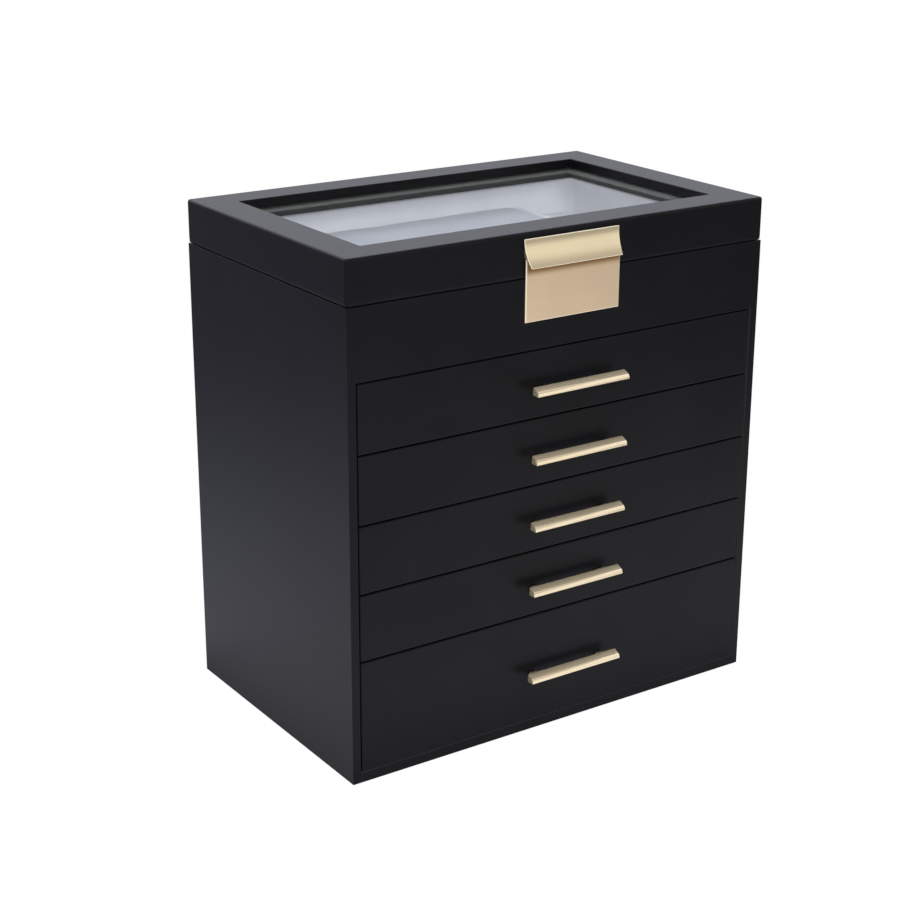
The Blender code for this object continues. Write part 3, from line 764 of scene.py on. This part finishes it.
def floor_colour(nodes):
    """White as seen; for what it lights, brightest near the chest with a painted contact shadow right
    beside it, and cooler behind it.
    """
    low, high = CAD_BOX
    place = nodes.add("ShaderNodeTexCoord").outputs["Object"]
    split = nodes.add("ShaderNodeSeparateXYZ", {"Vector": place})
    side = nodes.maths("ABSOLUTE", split.outputs["X"])
    front = nodes.maths("ABSOLUTE", split.outputs["Y"])
    side = nodes.maths("MAXIMUM", nodes.maths("SUBTRACT", side, high[0]), 0.0)
    front = nodes.maths("MAXIMUM", nodes.maths("SUBTRACT", front, high[1]), 0.0)
    off = nodes.maths("SQRT", nodes.maths("ADD", nodes.maths("MULTIPLY", side, side),
                                          nodes.maths("MULTIPLY", front, front)))
    behind = nodes.add("ShaderNodeMapRange", {"Value": split.outputs["Y"], "From Min": -0.4,
                                              "From Max": 0.4}).outputs["Result"]
    right = nodes.add("ShaderNodeMapRange", {"Value": split.outputs["X"], "From Min": 0.35,
                                             "From Max": 0.80, "To Min": 1.0,
                                             "To Max": 1.0 - FLOOR_RIGHT_LOSS}).outputs["Result"]
    far = nodes.add("ShaderNodeMapRange", {"Value": behind, "To Min": FLOOR_FAR_FRONT,
                                           "To Max": FLOOR_FAR_BACK}).outputs["Result"]
    fall = nodes.add("ShaderNodeMapRange", {"Value": off, "From Min": 0.12, "From Max": 0.65,
                                            "To Min": FLOOR_NEAR,
                                            "To Max": nodes.maths("MULTIPLY", far, right)})
    # Painted contact shadow: the floor's light dims right beside the chest.
    touch = nodes.add("ShaderNodeMapRange", {"Value": off, "From Max": 0.05,
                                             "To Min": FLOOR_TOUCH, "To Max": 1.0})
    level = nodes.maths("MULTIPLY", fall.outputs["Result"], touch.outputs["Result"])
    tint = nodes.mix(behind, (1.0, 0.99, 0.98, 1.0), (0.88, 0.90, 1.12, 1.0))
    lit = nodes.add("ShaderNodeVectorMath", {0: tint, "Scale": level},
                    operation="SCALE").outputs["Vector"]
    seen = nodes.add("ShaderNodeLightPath").outputs["Is Camera Ray"]
    return nodes.mix(seen, lit, (1.0, 1.0, 1.0, 1.0))


def build_stage():
    bm = bmesh.new()
    bmesh.ops.create_grid(bm, x_segments=1, y_segments=1, size=6.0)
    mesh = bpy.data.meshes.new("floor")
    bm.to_mesh(mesh)
    bm.free()
    mesh.materials.append(emission("pale_floor", floor_colour))
    floor = bpy.data.objects.new("floor", mesh)
    floor.location.z = -0.0002
    bpy.context.collection.objects.link(floor)


def build_world():
    """White to the eye; in reflections a bright low band in front and, behind, a cool wall
    that is dim at the foot, so that the glass stays clear, bright higher up and softer
    overhead."""
    world = bpy.data.worlds.new("studio")
    world.use_nodes = True
    nodes = Nodes(world.node_tree)
    way = nodes.add("ShaderNodeTexCoord").outputs["Generated"]
    split = nodes.add("ShaderNodeSeparateXYZ", {"Vector": way})
    heights = ((0.00, 0.76), (0.10, 0.72), (0.28, 0.68), (0.48, 0.70), (0.62, 0.28), (0.80, 0.18),
               (1.00, 0.46))
    ahead = nodes.ramp(split.outputs["Z"], [(place, (level,) * 3) for place, level in heights])
    raised = nodes.add("ShaderNodeMapRange", {"Value": split.outputs["Z"], "From Min": 0.23,
                                              "From Max": 0.32}).outputs["Result"]
    overhead = nodes.add("ShaderNodeMapRange", {"Value": split.outputs["Z"], "From Min": 0.50,
                                                "From Max": 0.66}).outputs["Result"]
    upper = nodes.mix(overhead, (1.58, 1.61, 1.80, 1.0), (0.86, 0.88, 0.95, 1.0))
    wall = nodes.mix(raised, (0.46, 0.47, 0.515, 1.0), upper)
    behind = nodes.add("ShaderNodeMapRange", {"Value": split.outputs["Y"], "From Min": -0.25,
                                              "From Max": 0.45})
    bright = nodes.mix(behind.outputs["Result"], ahead, wall)
    seen = nodes.add("ShaderNodeLightPath").outputs["Is Camera Ray"]
    colour = nodes.mix(seen, bright, (1.0, 1.0, 1.0, 1.0))
    strength = nodes.add("ShaderNodeMapRange", {"Value": seen, "To Min": WALL_LEVEL,
                                                "To Max": 1.0})
    light = nodes.add("ShaderNodeBackground", {"Color": colour,
                                               "Strength": strength.outputs["Result"]})
    nodes.add("ShaderNodeOutputWorld", {"Surface": light.outputs["Background"]})
    bpy.context.scene.world = world


def softbox(name, place, aim, width, height, power):
    """A white area light that the camera, reflections and the glass don't see."""
    data = bpy.data.lights.new(name, "AREA")
    data.shape = "RECTANGLE"
    data.size, data.size_y = width, height
    data.energy = power
    obj = bpy.data.objects.new(name, data)
    obj.location = place
    obj.rotation_euler = (Vector(aim) - Vector(place)).to_track_quat("-Z", "Y").to_euler()
    obj.visible_camera = False
    obj.visible_glossy = False
    obj.visible_transmission = False
    bpy.context.collection.objects.link(obj)


def build_camera():
    azimuth, elevation = math.radians(CAMERA_AZIMUTH), math.radians(CAMERA_ELEVATION)
    away = Vector((math.sin(azimuth) * math.cos(elevation),
                   -math.cos(azimuth) * math.cos(elevation), math.sin(elevation)))
    data = bpy.data.cameras.new("camera")
    data.lens = CAMERA_LENS
    data.clip_start = 0.01
    obj = bpy.data.objects.new("camera", data)
    obj.location = CAMERA_AIM + away * CAMERA_DISTANCE
    turn = (-away).to_track_quat("-Z", "Y").to_matrix().to_4x4()
    turn = turn @ Matrix.Rotation(math.radians(CAMERA_ROLL), 4, "Z")
    obj.rotation_euler = turn.to_euler()
    bpy.context.collection.objects.link(obj)
    bpy.context.scene.camera = obj


# ================================================================ the scene
build_camera()
build_world()
build_stage()
softbox("top", (0.0, 0.1, 1.5), (0, 0, 0.2), 1.2, 1.2, 14.0)
softbox("front", (-0.5, -1.5, 0.95), (0, 0, 0.25), 0.8, 0.6, 22.0)
finish_cad_nodes()
build_case_shell()
build_wrap_overlap()
build_lid_lining()
build_pull()
for drawer in range(1, 6):
    build_handle(drawer)
    build_drawer_pads(drawer)
for side_body in ("case", "lid"):
    build_hinge_screws(side_body)
build_ring_cushion()
build_watch_cushion()

bpy.context.scene.view_settings.view_transform = "Standard"
